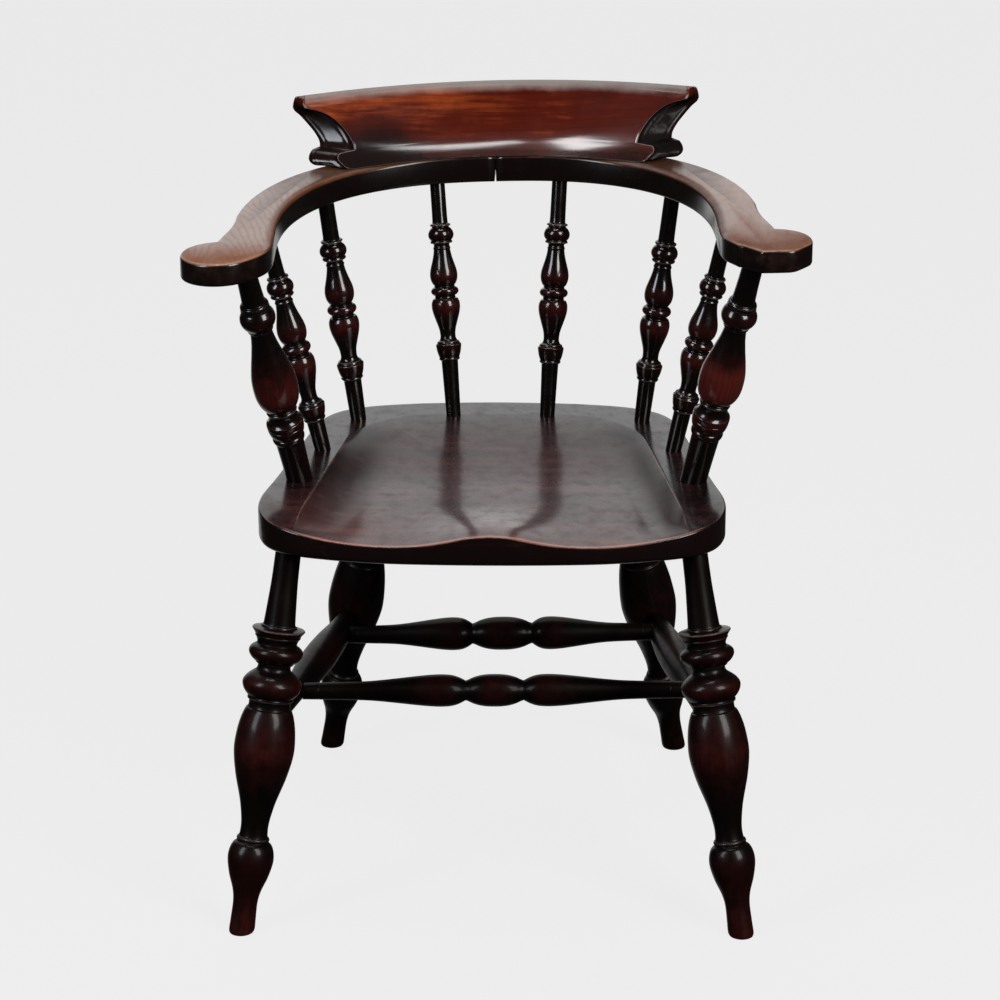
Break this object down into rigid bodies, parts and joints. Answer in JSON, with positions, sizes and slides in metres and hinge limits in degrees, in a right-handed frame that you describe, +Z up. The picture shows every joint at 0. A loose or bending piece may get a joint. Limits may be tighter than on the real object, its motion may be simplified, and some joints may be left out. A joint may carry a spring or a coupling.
{
  "type": "captains chair",
  "caption": "Low-backed wooden armchair: saddled seat on turned, splayed legs with stretchers, and an arm bow on turned spindles and posts that carries a hollowed crest rail.",
  "frame": {"origin": "on the floor, at the middle of the chair's overall width and depth", "axes": "+Z up, +Y from the seat's front edge to the back, +X to the right as seen from the front"},
  "size_m": [0.6586, 0.5276, 0.825],
  "materials": {
    "seat_wood": "dark stained elm, waxed to a broad gloss, rubbed redder at the front edge",
    "crest_wood": "red-brown stained and polished, dark in the coves",
    "arm_wood": "stain worn to brown grain on top of the arms, near black on the edges",
    "turned_wood": "near-black stain with a deep red glow, high gloss",
    "dowel_wood": "bare beech, unseen inside the joint",
    "screw_steel": "aged plain steel"
  },
  "bodies": {
    "root": {"seat": "seat_wood", "crest_rail": "crest_wood", "arm_bow_left": "arm_wood", "arm_bow_right": "arm_wood", "bow_joint_dowel": "dowel_wood", "arm_post_left": "turned_wood", "arm_post_right": "turned_wood", "spindle_side_left": "turned_wood", "spindle_side_right": "turned_wood", "spindle_corner_left": "turned_wood", "spindle_corner_right": "turned_wood", "spindle_back_left": "turned_wood", "spindle_back_right": "turned_wood", "leg_front_left": "turned_wood", "leg_front_right": "turned_wood", "leg_rear_left": "turned_wood", "leg_rear_right": "turned_wood", "side_stretcher_left": "turned_wood", "side_stretcher_right": "turned_wood", "cross_stretcher_front": "turned_wood", "cross_stretcher_rear": "turned_wood", "crest_screw_1": "screw_steel", "crest_screw_2": "screw_steel", "crest_screw_3": "screw_steel", "crest_screw_4": "screw_steel"}
  },
  "joints": []
}
